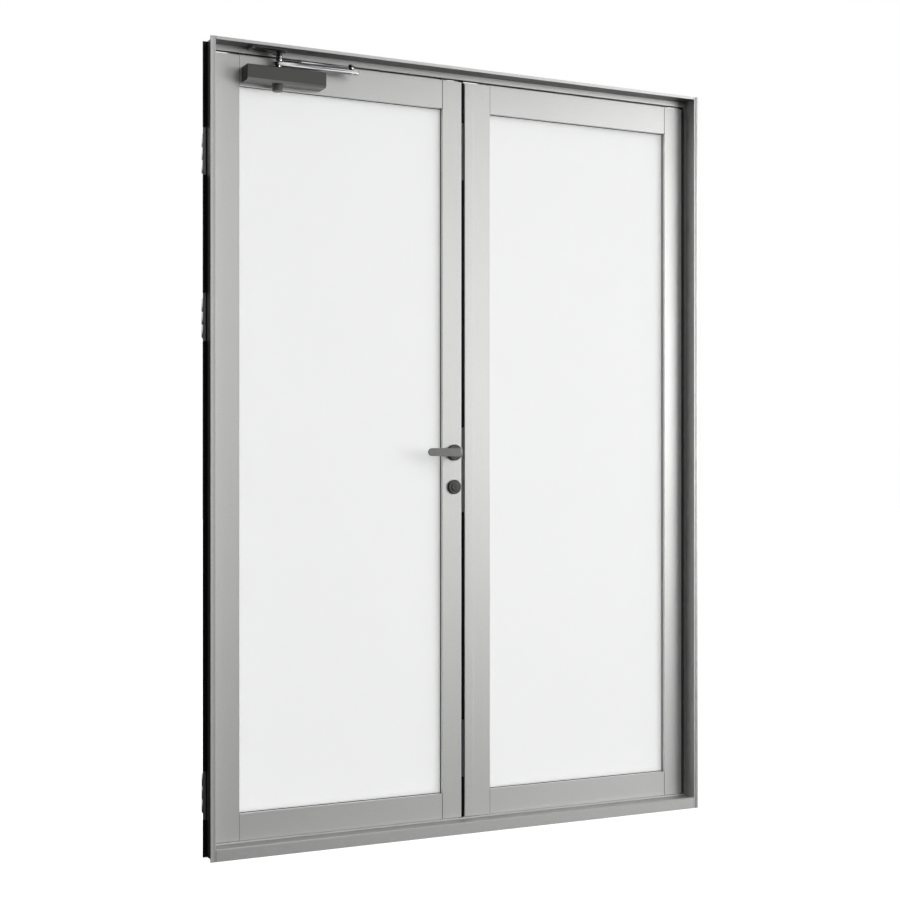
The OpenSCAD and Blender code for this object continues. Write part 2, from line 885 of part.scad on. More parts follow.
// Lock cylinder right through the leaf, with a key slot outside and a turn slot inside.
module lock_cylinder() {
    slot_w = 1.6;
    slot_h = 9;
    slot_deep = 6;
    whole = leaf_t + 2 * (ring_t + cylinder_proud);
    color(dark_metal)
        in_active_leaf()
            translate([handle_x, -ring_t - cylinder_proud, cylinder_z])
                difference() {
                    rotate([-90, 0, 0])
                        cylinder(h = whole, r = cylinder_r);
                    for (y = [-1, whole - slot_deep])
                        translate([-slot_w / 2, y, -slot_h / 2])
                            cube([slot_w, slot_deep + 1, slot_h]);
                }
}

// One lever: a round neck, then a flat bar that turns the corner towards the hinges.
module lever() {
    bar_y = lever_reach - lever_t;
    tip_r = lever_h / 2;
    intersection() {
        translate([0, 0, -lever_h / 2])
            linear_extrude(lever_h)
                union() {
                    translate([-lever_len, bar_y])
                        square([lever_len, lever_t]);
                    translate([0, lever_reach - neck_r])
                        circle(neck_r);
                    translate([-neck_r, bar_y - neck_r / 2])
                        square([2 * neck_r, neck_r / 2]);
                }
        rotate([-90, 0, 0])
            linear_extrude(lever_reach)
                union() {
                    translate([tip_r - lever_len, 0])
                        circle(tip_r);
                    translate([tip_r - lever_len, -tip_r])
                        square([lever_len - tip_r + neck_r, lever_h]);
                }
    }
    rotate([-90, 0, 0])
        cylinder(h = lever_reach - neck_r, r = neck_r);
}

// Both levers on one spindle through the leaf.
module lever_handles() {
    color(dark_metal)
        in_active_leaf()
            translate([handle_x, 0, handle_z]) {
                mirror([0, 1, 0])
                    lever();
                translate([0, leaf_t, 0])
                    lever();
                rotate([-90, 0, 0])
                    cylinder(h = leaf_t, r = neck_r);
            }
}

// Closer: body on the working leaf's top rail, reaching out to the frame's face.
module closer_body() {
    edge = 1;
    collar_r = spindle_r + 5;
    collar_h = 2;
    color(dark_paint)
        from_left()
            difference() {
                union() {
                    translate([closer_at + closer_len / 2, reveal_d - closer_d, closer_z])
                        lying(closer_len)
                            polygon([[0, closer_bevel], [0, closer_d], [closer_h, closer_d],
                                [closer_h, edge], [closer_h - edge, 0], [closer_bevel, 0]]);
                    translate([spindle[0], spindle[1], closer_z])
                        cylinder(h = closer_h + collar_h, r = collar_r);
                }
                translate([spindle[0], spindle[1], closer_z + closer_h - spindle_h])
                    cylinder(h = spindle_h + collar_h + 1, r = spindle_r + pin_clear);
            }
}

// Round cap under the closer's spindle.
module closer_cap() {
    edge = 1.5;
    color(dark_paint)
        from_left()
            translate([spindle[0], spindle[1], closer_z - cap_h]) {
                translate([0, 0, edge])
                    cylinder(h = cap_h - edge, r = cap_r);
                cylinder(h = edge, r = cap_r - edge);
            }
}

// A flat link in plan: round ends of their own radii, with straight sides that touch both.
module link_outline(a, b, ra, rb) {
    len = norm(b - a);
    lean = asin((ra - rb) / len);
    touch_a = ra * [sin(lean), cos(lean)];
    touch_b = rb * [sin(lean), cos(lean)];
    translate(a)
        rotate(atan2(b[1] - a[1], b[0] - a[0])) {
            circle(ra);
            translate([len, 0])
                circle(rb);
            polygon([touch_a, [len + touch_b[0], touch_b[1]], [len + touch_b[0], -touch_b[1]],
                [touch_a[0], -touch_a[1]]]);
        }
}

// Main arm: a tapered forging on the spindle, drawn closed and parallel to the leaf.
module closer_main_arm() {
    boss_r = 12;
    end_r = 7;
    tail = 16;
    hub_r = spindle_r + 3;
    nut_r = 6;
    nut_h = 2;
    reach = norm(elbow - spindle);
    tail_end = spindle + (elbow - spindle) * (reach + tail) / reach;
    spindle_foot_z = closer_z + closer_h - spindle_h + 1;
    color(bright)
        from_left()
            difference() {
                union() {
                    translate([0, 0, arm_z])
                        linear_extrude(arm_t)
                            link_outline(spindle, tail_end, boss_r, end_r);
                    translate([spindle[0], spindle[1], arm_z - spindle_h / 2])
                        cylinder(h = spindle_h / 2, r = hub_r);
                    translate([spindle[0], spindle[1], spindle_foot_z])
                        cylinder(h = arm_z + 1 - spindle_foot_z, r = spindle_r);
                    translate([spindle[0], spindle[1], arm_z + arm_t])
                        cylinder(h = nut_h, r = nut_r, $fn = 6);
                }
                translate([elbow[0], elbow[1], arm_z - 1])
                    cylinder(h = arm_t + 2, r = arm_pin_r + pin_clear);
            }
}

// Elbow pin, fast in the main arm, with a head over the forearm's eye.
module elbow_pin() {
    head_r = 7;
    head_h = 3.5;
    foot_h = 1.5;
    color(bright)
        from_left()
            translate([elbow[0], elbow[1], 0]) {
                translate([0, 0, arm_z - foot_h])
                    cylinder(h = foot_h, r = head_r);
                translate([0, 0, arm_z - foot_h])
                    cylinder(h = forearm_top_z - arm_z + foot_h + 1, r = arm_pin_r);
                translate([0, 0, arm_z + arm_t])
                    cylinder(h = arm_gap - open_pivot_gap / 2, r = head_r - 1);
                translate([0, 0, forearm_top_z + open_pivot_gap / 2])
                    cylinder(h = head_h, r = head_r);
            }
}

// Forearm: a tube with a threaded rod and flat eyes, from the elbow back to the bracket.
module closer_forearm() {
    eye_r = 9;
    rod_r = 3;
    rod_part = 0.3;
    lock_nut_len = 9;
    lock_nut_r = tube_r + 2;
    run = bracket_pin - elbow;
    reach = norm(run);
    turn = atan2(run[1], run[0]);
    mid_z = forearm_z + tube_r;
    tube_end = reach * (1 - rod_part);
    color(bright)
        from_left()
            translate([elbow[0], elbow[1], mid_z])
                rotate([0, 0, turn])
                    difference() {
                        union() {
                            for (x = [0, reach])
                                translate([x, 0, -tube_r])
                                    cylinder(h = 2 * tube_r, r = eye_r);
                            translate([eye_r - 2, 0, 0])
                                rotate([0, 90, 0])
                                    cylinder(h = tube_end - eye_r + 2, r = tube_r);
                            translate([tube_end - 1, 0, 0])
                                rotate([0, 90, 0])
                                    cylinder(h = reach - tube_end - eye_r + 3, r = rod_r);
                            translate([tube_end, 0, 0])
                                rotate([0, 90, 0])
                                    rotate([0, 0, 30])
                                        cylinder(h = lock_nut_len, r = lock_nut_r - 1, $fn = 6);
                        }
                        for (x = [0, reach])
                            translate([x, 0, -tube_r - 1])
                                cylinder(h = 2 * tube_r + 2, r = arm_pin_r + pin_clear);
                    }
}

// Bracket under the head: a plate with a rib that backs the pivot.
module closer_bracket() {
    color(dark_paint)
        from_left()
            difference() {
                union() {
                    translate([bracket_pin[0] + bracket_past - bracket_len,
                        reveal_d - bracket_gap - bracket_d, bracket_z])
                        cube([bracket_len, bracket_d, bracket_t]);
                    translate([bracket_pin[0], bracket_pin[1] + rib_t / 2, bracket_z])
                        rotate([90, 0, 0])
                            linear_extrude(rib_t)
                                polygon([[-rib_run, 1], [-stud_r - 2, -rib_drop],
                                    [0, -rib_drop], [0, 1]]);
                }
                translate([bracket_pin[0], bracket_pin[1], bracket_z - rib_drop - 1])
                    cylinder(h = rib_drop + bracket_t + 2, r = stud_r + pin_clear);
            }
}

// Pivot stud of the bracket. It ends just above the forearm's eye: this pivot is left open.
module bracket_pivot() {
    head_r = 8.5;
    head_h = 5;
    foot_z = forearm_top_z + open_pivot_gap;
    color(bright)
        from_left()
            translate([bracket_pin[0], bracket_pin[1], foot_z]) {
                cylinder(h = soffit_z - foot_z, r = stud_r);
                cylinder(h = head_h, r = head_r);
            }
}

module inactive_hinge_stile() {
    color(satin)
        in_inactive_leaf()
            hinge_stile(inactive_hinge_stile_w);
}

module inactive_meeting_stile() {
    color(satin)
        in_inactive_leaf()
            meeting_stile(inactive_meeting_stile_w, inactive_w);
}

module inactive_top_rail() {
    color(satin)
        in_inactive_leaf()
            top_rail(inactive_faces[0], inactive_faces[1], inactive_faces[2]);
}

module inactive_bottom_rail() {
    color(satin)
        in_inactive_leaf()
            bottom_rail(inactive_faces[0], inactive_faces[1], inactive_faces[2]);
}

module inactive_glass() {
    color([0.9, 0.92, 0.92, 0.5])
        in_inactive_leaf()
            glass_pane(inactive_faces[0], inactive_faces[1], inactive_faces[2]);
}

module inactive_glazing_beads() {
    in_inactive_leaf()
        glazing_beads(inactive_faces[0], inactive_faces[1], inactive_faces[2]);
}

module inactive_glazing_seals() {
    in_inactive_leaf()
        glazing_seals(inactive_faces[0], inactive_faces[1], inactive_faces[2]);
}

module inactive_edge_seal() {
    in_inactive_leaf()
        edge_seal(inactive_w, inactive_breaks);
}

// Flat strip down the resting leaf's meeting edge, on the room side.
module cover_strip() {
    edge = 0.8;
    color(satin)
        in_inactive_leaf()
            translate([inactive_w - strip_w, 0, strip_foot_z + strip_cap_h])
                linear_extrude(strip_top_z - strip_foot_z - 2 * strip_cap_h)
                    polygon([[0, 0], [0, -strip_t + edge], [edge, -strip_t],
                        [strip_w - edge, -strip_t], [strip_w, -strip_t + edge], [strip_w, 0]]);
}

// Caps on both ends of the strip, a little thicker than it.
module strip_caps() {
    cap_more = 0.8;
    color(satin)
        in_inactive_leaf()
            for (z = [strip_foot_z, strip_top_z - strip_cap_h])
                translate([inactive_w - strip_w, -strip_t - cap_more, z])
                    cube([strip_w, strip_t + cap_more, strip_cap_h]);
}

// Strike plate in the resting leaf's edge, with pockets for the latch and the bolt.
module strike_plate() {
    pocket_h = 44;
    pocket_wide = 13;
    color(steel)
        in_inactive_leaf()
            translate([inactive_w - edge_seal_t, 0, 0])
                difference() {
                    edge_plate(faceplate_h, lock_z);
                    for (z = [handle_z, cylinder_z])
                        translate([-1, lock_y - pocket_wide / 2, z - pocket_h / 2])
                            cube([edge_seal_t + 2, pocket_wide, pocket_h]);
                }
}

// Flush bolts in the resting leaf's edge: a plate with a sunk thumb lever.
module flush_bolts() {
    well_h = 70;
    well_w = 12;
    thumb_h = 24;
    skin = 1;
    color(steel)
        in_inactive_leaf()
            translate([inactive_w - edge_seal_t, 0, 0])
                for (z = flush_z) {
                    difference() {
                        edge_plate(flush_h, z);
                        translate([skin, lock_y - well_w / 2, z - well_h / 2])
                            cube([edge_seal_t, well_w, well_h]);
                    }
                    translate([0, lock_y - well_w / 3, z - thumb_h / 2])
                        cube([edge_seal_t - skin / 2, 2 * well_w / 3, thumb_h]);
                }
}

left_jamb();
right_jamb();
head();
sill();
frame_seals();
left_hinge_frame_halves();
right_hinge_frame_halves();
hinge_backing_plates();
closer_bracket();
bracket_pivot();
active_hinge_stile();
active_lock_stile();
active_top_rail();
active_bottom_rail();
active_glass();
active_glazing_beads();
active_glazing_seals();
active_edge_seal();
active_hinge_leaf_halves();
lock_faceplate();
handle_roses();
cylinder_rings();
lock_cylinder();
closer_body();
closer_cap();
lever_handles();
closer_main_arm();
elbow_pin();
closer_forearm();
inactive_hinge_stile();
inactive_meeting_stile();
inactive_top_rail();
inactive_bottom_rail();
inactive_glass();
inactive_glazing_beads();
inactive_glazing_seals();
inactive_edge_seal();
inactive_hinge_leaf_halves();
cover_strip();
strip_caps();
strike_plate();
flush_bolts();
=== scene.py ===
import json
import math

import bmesh
import bpy
from mathutils import Matrix, Vector


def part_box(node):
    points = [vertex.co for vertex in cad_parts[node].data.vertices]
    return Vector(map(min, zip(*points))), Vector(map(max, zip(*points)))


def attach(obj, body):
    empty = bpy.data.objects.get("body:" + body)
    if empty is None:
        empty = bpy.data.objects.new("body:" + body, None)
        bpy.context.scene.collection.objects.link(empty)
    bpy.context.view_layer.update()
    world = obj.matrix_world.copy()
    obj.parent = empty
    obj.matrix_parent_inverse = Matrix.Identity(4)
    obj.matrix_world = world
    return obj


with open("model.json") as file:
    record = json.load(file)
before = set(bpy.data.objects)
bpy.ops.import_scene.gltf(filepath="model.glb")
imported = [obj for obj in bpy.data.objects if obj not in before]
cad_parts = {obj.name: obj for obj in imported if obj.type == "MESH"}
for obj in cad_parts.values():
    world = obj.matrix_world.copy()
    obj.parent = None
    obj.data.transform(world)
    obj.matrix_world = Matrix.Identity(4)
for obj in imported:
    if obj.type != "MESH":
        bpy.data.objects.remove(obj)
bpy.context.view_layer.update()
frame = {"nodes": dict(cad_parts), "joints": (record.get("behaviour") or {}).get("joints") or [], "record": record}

# Millimetres in the names of sizes below are turned into metres here.
MM = 0.001

# Places that the frame gives
leaf_pivot = Vector(next(j for j in frame["joints"] if j["name"] == "active_leaf_hinge")["pos_m"])
active_edge_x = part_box("active_lock_stile")[1].x
inactive_edge_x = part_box("inactive_meeting_stile")[0].x
leaf_front_y, leaf_back_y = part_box("active_lock_stile")[0].y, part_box("active_lock_stile")[1].y
leaf_middle_y = (leaf_front_y + leaf_back_y) / 2
frame_front_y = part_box("left_jamb")[0].y

# Finishes, as linear colours
ALUMINIUM = (0.80, 0.80, 0.79)
STEEL = (0.58, 0.59, 0.60)
CHROME = (0.86, 0.87, 0.88)
NICKEL = (0.20, 0.20, 0.195)
DARK_NICKEL = (0.085, 0.085, 0.083)
PAINT = (0.084, 0.084, 0.081)
RUBBER = (0.008, 0.008, 0.008)
EDGE_RUBBER = (0.04, 0.04, 0.04)
PRIMER = (0.05, 0.05, 0.05)
FILM = (0.97, 0.98, 0.975)
# Painted light: strength of the glow of the pane's film, though the pane is no lamp
PANE_PAINTED_GLOW = 0.32
# Painted shade: near-black colour for the frame's wall side behind its front face, standing in for its shadow
WALL_SIDE_PAINTED_SHADE = (0.05, 0.05, 0.05)
JOINT_BLUR = 0.5 * MM
JOINT_GRIME = 0.9
# Painted shade: shares of the colour kept by the sill's upward faces and the head's downward faces
SILL_TOP_SHADE = 0.6
SOFFIT_SHADE = 0.25


class Signal:
    """An output of a shader node. Plain arithmetic on it adds Math nodes to the same material."""

    def __init__(self, finish, socket):
        self.finish = finish
        self.socket = socket

    def maths(self, operation, *values):
        inputs = {i: v for i, v in enumerate(values)}
        return self.finish.node("ShaderNodeMath", {"operation": operation}, inputs)

    def __add__(self, other):
        return self.maths("ADD", self, other)

    def __sub__(self, other):
        return self.maths("SUBTRACT", self, other)

    def __mul__(self, other):
        return self.maths("MULTIPLY", self, other)

    def __rsub__(self, other):
        return self.maths("SUBTRACT", other, self)

    __radd__ = __add__
    __rmul__ = __mul__

    def size(self):
        return self.maths("ABSOLUTE", self)

    def clamped(self):
        return self.maths("MINIMUM", self.maths("MAXIMUM", self, 0.0), 1.0)


class NodeTree:
    """A material's or world's node tree, and the one way that nodes are added to it."""

    def __init__(self, tree):
        self.tree = tree

    def socket(self, made, name):
        """The socket of a node by its name. A Mix node has several of each name: its colours are used."""
        if made.bl_idname == "ShaderNodeMix" and name in ("A", "B"):
            return made.inputs[6 + "AB".index(name)]
        return made.inputs[name]

    def node(self, kind, settings=None, inputs=None, output=0):
        """Adds a node: its settings come first, then the values or links of its sockets."""
        made = self.tree.nodes.new(kind)
        for name, value in (settings or {}).items():
            setattr(made, name, value)
        for name, value in (inputs or {}).items():
            if isinstance(value, Signal):
                self.tree.links.new(value.socket, self.socket(made, name))
            else:
                self.socket(made, name).default_value = value
        return Signal(self, made.outputs[output]) if made.outputs else None


class Finish(NodeTree):
    """A material and its principled shader."""

    def __init__(self, name, plain=None):
        self.material = bpy.data.materials.new(name)
        self.material.use_nodes = True
        super().__init__(self.material.node_tree)
        self.shader = self.tree.nodes["Principled BSDF"]
        for socket, value in (plain or {}).items():
            self.shader.inputs[socket].default_value = value

    def place(self, stretch=(1, 1, 1)):
        """The point on the piece, in the piece's own metres, each axis times its stretch."""
        point = self.node("ShaderNodeTexCoord", output="Object")
        return self.node("ShaderNodeVectorMath", {"operation": "MULTIPLY"}, {0: point, 1: stretch})

    def noise(self, size, stretch=(1, 1, 1), detail=2.0, roughness=0.5):
        """Noise from 0 to 1 with features of the given size in metres."""
        return self.node("ShaderNodeTexNoise", None, {
            "Vector": self.place(stretch), "Scale": 1 / size, "Detail": detail,
            "Roughness": roughness}, output="Fac")

    def blend(self, factor, first, second):
        """A colour between two others, each plain or from another node."""
        pair = {key: colour if isinstance(colour, Signal) else (*colour, 1)
                for key, colour in (("A", first), ("B", second))}
        return self.node("ShaderNodeMix", {"data_type": "RGBA"}, {"Factor": factor, **pair}, output=2)

    def feed(self, socket, signal):
        self.tree.links.new(signal.socket, self.shader.inputs[socket])

    def bump(self, height, distance, strength=1.0):
        self.feed("Normal", self.node("ShaderNodeBump", None, {
            "Height": height, "Distance": distance, "Strength": strength}, output="Normal"))


def shade(colour, factor):
    return tuple(c * factor for c in colour)


def satin_metal(name, colour, roughness, metallic=0.5, along=(1, 1, 0.02), streaks=0.10, joints=(),
                wall_side=None, painted_facing_shade=None):
    """Anodised or brushed metal: fine grain, faint lines along the bar, and slow cloudy patches.
    joints are butt joints, as (x, half width): grime darkens the metal there. Beyond the distance
    wall_side from the middle, behind the front face, the colour is painted shade, near black. The
    last argument is (1, share) or (-1, share): faces that look up or down keep only that share of the colour, as
    painted shade."""
    grain = 0.35 * MM
    finish = Finish(name, {"Metallic": metallic})
    fine = finish.noise(grain, detail=3.0)
    speckle = finish.noise(4 * MM, detail=2.0, roughness=0.7)
    lines = finish.noise(1.6 * MM, stretch=along, detail=3.0)
    cloud = finish.noise(160 * MM, detail=2.0)
    tone = (fine * 0.35 + speckle * 0.45 + lines * 0.2).clamped()
    base = finish.blend(tone, shade(colour, 1 - 2 * streaks), shade(colour, 1 + 2 * streaks))
    across = finish.node("ShaderNodeSeparateXYZ", None, {0: finish.place()}, output="X")
    depth = finish.node("ShaderNodeSeparateXYZ", None, {0: finish.place()}, output="Y")
    for x, half_width in joints:
        line = 1 - (((across - x).size() - half_width) * (1 / JOINT_BLUR)).clamped()
        base = finish.blend(line * JOINT_GRIME, base, shade(colour, 0.06))
    # Painted shade: beyond wall_side and behind the front face the colour turns near black
    if wall_side:
        beyond = ((across.size() - wall_side) * (1 / JOINT_BLUR)).clamped()
        behind_face = ((depth - frame_front_y) * (1 / JOINT_BLUR) - 1).clamped()
        base = finish.blend(beyond * behind_face, base, WALL_SIDE_PAINTED_SHADE)
    # Painted shade: faces that look up or down get a darker copy of the colour
    if painted_facing_shade:
        upwards, share = painted_facing_shade
        normal = finish.node("ShaderNodeNewGeometry", output="True Normal")
        height = finish.node("ShaderNodeSeparateXYZ", None, {0: normal}, output="Z")
        level = (height * (2 * upwards) - 0.8).clamped()
        base = finish.blend(level, base, shade(colour, share))
    finish.feed("Base Color", base)
    finish.feed("Roughness", roughness - 0.05 + fine * 0.05 + cloud * 0.05)
    finish.bump(fine * 0.7 + lines * 0.3, 0.02 * MM)
    return finish.material


def seal_rubber(name, colour):
    """Matt black rubber with a dusty bloom and a fine pebbled skin."""
    finish = Finish(name, {"Specular IOR Level": 0.1})
    bloom = finish.noise(12 * MM, detail=4.0)
    pebble = finish.noise(0.5 * MM)
    finish.feed("Base Color", finish.blend(bloom, colour, shade(colour, 1.6)))
    finish.feed("Roughness", 0.62 + bloom * 0.15)
    finish.bump(pebble, 0.04 * MM)
    return finish.material


def pane_glass():
    """Pane glass with a pale milky film, so that what is behind it hardly shows. The film also glows a little, as
    painted light that keeps the pane evenly bright.
    """
    finish = Finish("pane_glass", {
        "Roughness": 0.6, "Specular IOR Level": 0.25, "Alpha": 0.93, "Subsurface Weight": 1.0,
        "Subsurface Radius": (1, 1, 1), "Subsurface Scale": 0.05,
        "Emission Color": (*FILM, 1), "Emission Strength": PANE_PAINTED_GLOW})
    film = finish.noise(90 * MM, detail=3.0)
    finish.feed("Base Color", finish.blend(film, shade(FILM, 0.99), shade(FILM, 1.01)))
    finish.material.blend_method = "BLEND"
    return finish.material


def textured_paint(name, colour, roughness):
    """Powder coat: a fine orange-peel skin with a slightly mottled gloss."""
    finish = Finish(name)
    peel = finish.noise(0.9 * MM, detail=3.0, roughness=0.6)
    mottle = finish.noise(14 * MM)
    tone = peel * 0.6 + mottle * 0.4
    finish.feed("Base Color", finish.blend(tone, shade(colour, 0.94), shade(colour, 1.06)))
    finish.feed("Roughness", roughness - 0.06 + peel * 0.12)
    finish.bump(peel, 0.05 * MM)
    return finish.material


def bright_plating():
    """Bright plated steel with drawing lines along its length. The lines swing strongly between dark and bright as
    painted reflection streaks.
    """
    finish = Finish("arm_plating", {"Metallic": 1.0})
    lines = finish.noise(3 * MM, stretch=(0.03, 1, 1), detail=1.0)
    wave = finish.noise(6 * MM, detail=3.0)
    # Painted reflection: the drawing lines are pushed to near black and bright, like mirrored streaks
    reflection_streaks = ((lines - 0.5) * 5 + 0.45).clamped()
    finish.feed("Base Color", finish.blend(reflection_streaks, shade(CHROME, 0.12), shade(CHROME, 0.8)))
    finish.feed("Roughness", 0.10 + wave * 0.08)
    finish.bump(wave, 0.03 * MM)
    return finish.material


# Butt joints of the rails: a stile hides one side of each, so that its line is finer there
rail_joints = []
for left, right in (("active_hinge_stile", "active_lock_stile"),
                    ("inactive_meeting_stile", "inactive_hinge_stile")):
    rail_joints += [(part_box(left)[1].x, 0.5 * MM), (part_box(right)[0].x, 1.7 * MM)]
sill_joints = [(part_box("sill")[0].x, 0.5 * MM), (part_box("sill")[1].x, 1.0 * MM)]
satin_upright = satin_metal("satin_aluminium", ALUMINIUM, 0.46)
satin_jamb = satin_metal("satin_aluminium_jamb", ALUMINIUM, 0.46, joints=[(742 * MM, 1.2 * MM)],
                         wall_side=738 * MM)
satin_rail = satin_metal("satin_aluminium_rail", ALUMINIUM, 0.46, along=(0.02, 1, 1), joints=rail_joints)
# Painted shade: the sill is a darker copy of the aluminium (0.92), and its upward faces are darker still
satin_level = satin_metal("satin_aluminium_level", shade(ALUMINIUM, 0.92), 0.46, along=(0.02, 1, 1),
                          joints=sill_joints, painted_facing_shade=(1, SILL_TOP_SHADE))
# Painted shade on the head's downward faces
satin_head = satin_metal("satin_aluminium_head", ALUMINIUM, 0.46, along=(0.02, 1, 1), joints=sill_joints,
                         painted_facing_shade=(-1, SOFFIT_SHADE))
hinge_steel = satin_metal("hinge_steel", STEEL, 0.30, metallic=1.0, streaks=0.05)
# Painted highlight: the bead is a lighter, nearly non-metallic copy of the aluminium (1.15), for the bright line
# at the leaves' foot
bead_painted_highlight = satin_metal("bead_painted_highlight", shade(ALUMINIUM, 1.15), 0.40, metallic=0.1,
                         along=(0.02, 1, 1), streaks=0.02)
plate_steel = satin_metal("plate_steel", STEEL, 0.40, metallic=0.3)
lever_nickel = satin_metal("lever_nickel", NICKEL, 0.38, metallic=0.6, along=(0.05, 1, 1))
rose_nickel = satin_metal("rose_nickel", DARK_NICKEL, 0.30, metallic=0.8, along=(1, 1, 1), streaks=0.12)
screw_steel = satin_metal("screw_steel", shade(STEEL, 0.9), 0.28, metallic=1.0)
rubber = seal_rubber("seal_rubber", RUBBER)
edge_rubber = seal_rubber("edge_rubber", EDGE_RUBBER)
glass = pane_glass()
closer_paint = textured_paint("closer_paint", PAINT, 0.5)
backing_primer = textured_paint("backing_primer", PRIMER, 0.65)
plating = bright_plating()

FINISH_OF_SLOT = {
    "satin_aluminium": satin_upright, "black_rubber": rubber, "clear_glass": glass,
    "hinge_steel": hinge_steel, "backing_steel": backing_primer, "closer_grey": closer_paint,
    "bright_chrome": plating, "handle_metal": lever_nickel}
FINISH_OF_NODE = {
    "left_jamb": satin_jamb, "right_jamb": satin_jamb, "head": satin_head, "sill": satin_level,
    "active_top_rail": satin_rail, "active_bottom_rail": satin_rail, "inactive_top_rail": satin_rail,
    "inactive_bottom_rail": satin_rail, "handle_roses": rose_nickel, "cylinder_rings": rose_nickel,
    "lock_cylinder": rose_nickel, "active_edge_seal": edge_rubber, "inactive_edge_seal": edge_rubber,
    "flush_bolts": plate_steel, "strike_plate": plate_steel}
# Width of the rounding on the edges of each kind of piece
EDGE_OF_SLOT = {
    "satin_aluminium": 0.3 * MM, "hinge_steel": 0.35 * MM, "closer_grey": 0.9 * MM,
    "bright_chrome": 0.5 * MM, "handle_metal": 1.2 * MM, "backing_steel": 0.3 * MM,
    "clear_glass": 0.8 * MM}
SOFTER_EDGES = {"lever_handles": 1.6 * MM, "lock_cylinder": 0.4 * MM, "elbow_pin": 0.7 * MM}


def round_edges(piece, width):
    """Joins the mesh at its seams and rounds its sharp edges, as modifiers."""
    weld = piece.modifiers.new("joined_seams", "WELD")
    weld.merge_threshold = 0.01 * MM
    rounding = piece.modifiers.new("rounded_edges", "BEVEL")
    rounding.width = width
    rounding.segments = 2
    rounding.limit_method = "ANGLE"
    rounding.angle_limit = math.radians(35)
    rounding.harden_normals = True
    rounding.use_clamp_overlap = True


def dress_cad_nodes():
    for part in frame["record"]["subparts"]:
        name, slot = part["node"], part["material_slot"]
        piece = frame["nodes"][name]
        material = FINISH_OF_NODE.get(name, FINISH_OF_SLOT[slot])
        piece.data.materials.clear()
        piece.data.materials.append(material)
        if slot in EDGE_OF_SLOT:
            round_edges(piece, SOFTER_EDGES.get(name, EDGE_OF_SLOT[slot]))


def add_piece(name, mesh, materials, body):
    """Makes an object of a bmesh, which rides on a CAD body."""
    data = bpy.data.meshes.new(name)
    bmesh.ops.recalc_face_normals(mesh, faces=mesh.faces)
    mesh.to_mesh(data)
    mesh.free()
    for material in materials:
        data.materials.append(material)
    piece = bpy.data.objects.new(name, data)
    bpy.context.scene.collection.objects.link(piece)
    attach(piece, body)
    return piece


def facing(point, outwards, spin=0.0):
    """The frame of a small piece that sits at a point with its own Z outwards."""
    turn = Vector(outwards).to_track_quat("Z", "Y").to_matrix().to_4x4()
    return Matrix.Translation(point) @ turn @ Matrix.Rotation(spin, 4, "Z")


def add_revolved(mesh, place, profile, steps=24, waist=()):
    """Turns a profile of (radius, height) points round the place's Z. The ends close on it.
    waist gives a ring of the profile, by its index, that is a hexagon instead."""
    rings = []
    for index, (radius, height) in enumerate(profile):
        ring = []
        for step in range(steps):
            angle = 2 * math.pi * step / steps
            reach = radius
            if index in waist:
                sector = math.pi / 3
                reach = radius * math.cos(sector / 2) / math.cos((angle % sector) - sector / 2)
            point = Vector((reach * math.cos(angle), reach * math.sin(angle), height))
            ring.append(mesh.verts.new(place @ point))
        rings.append(ring)
    for low, high in zip(rings, rings[1:]):
        for step in range(steps):
            after = (step + 1) % steps
            face = mesh.faces.new((low[step], low[after], high[after], high[step]))
            face.smooth = True
    for ring in (rings[0], rings[-1]):
        mesh.faces.new(ring)


def add_screw(mesh, place, radius, height=0.35 * MM, socket=0.45):
    """A countersunk screw's head, seen from outside: a thin dished disc with a hexagon socket."""
    rim = radius * 0.12
    floor = height * 0.15
    add_revolved(mesh, place, [
        (radius, -height), (radius, 0), (radius - rim, height), (radius * socket, height),
        (radius * socket * 0.96, floor), (radius * socket * 0.3, floor * 0.8)], waist=(3, 4))


def screws(name, places, radius, body, height=0.35 * MM):
    mesh = bmesh.new()
    for place in places:
        add_screw(mesh, place, radius, height)
    return add_piece(name, mesh, [screw_steel], body)


HINGE_HEIGHTS = (0.159, 1.391, 1.818)
HINGE_SCREW_OFFSETS = (-38 * MM, -14 * MM, 14 * MM, 38 * MM)
PLATE_HALF_GAP = 0.4 * MM
FRAME_PLATE_MIDDLE_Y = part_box("left_jamb")[1].y - 12.5 * MM
LEAF_PLATE_MIDDLE_Y = leaf_back_y - 12.5 * MM


def hinge_screws():
    """Countersunk screws in both plates of every hinge. They show once a leaf is open."""
    for side, frame_name, leaf_name, leaf_body in (
            (1, "left_frame_hinge_screws", "active_leaf_hinge_screws", "active_leaf"),
            (-1, "right_frame_hinge_screws", "inactive_leaf_hinge_screws", "inactive_leaf")):
        axis_x = side * leaf_pivot.x
        heights = [z + offset for z in HINGE_HEIGHTS for offset in HINGE_SCREW_OFFSETS]
        on_frame = [facing((axis_x - side * PLATE_HALF_GAP, FRAME_PLATE_MIDDLE_Y, z), (side, 0, 0), z)
                    for z in heights]
        on_leaf = [facing((axis_x + side * PLATE_HALF_GAP, LEAF_PLATE_MIDDLE_Y, z), (-side, 0, 0), z)
                   for z in heights]
        screws(frame_name, on_frame, 4.2 * MM, "frame", 0.12 * MM)
        screws(leaf_name, on_leaf, 4.2 * MM, leaf_body, 0.12 * MM)


def edge_plate_screws():
    """Two screws in each plate of the meeting edges."""
    inset = 10 * MM
    for node, x, outwards, body in (
            ("lock_faceplate", active_edge_x, 1, "active_leaf"),
            ("strike_plate", inactive_edge_x, -1, "inactive_leaf")):
        low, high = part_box(node)
        places = [facing((x, leaf_middle_y, z), (outwards, 0, 0), z) for z in (low.z + inset, high.z - inset)]
        screws(node + "_screws", places, 3.4 * MM, body)


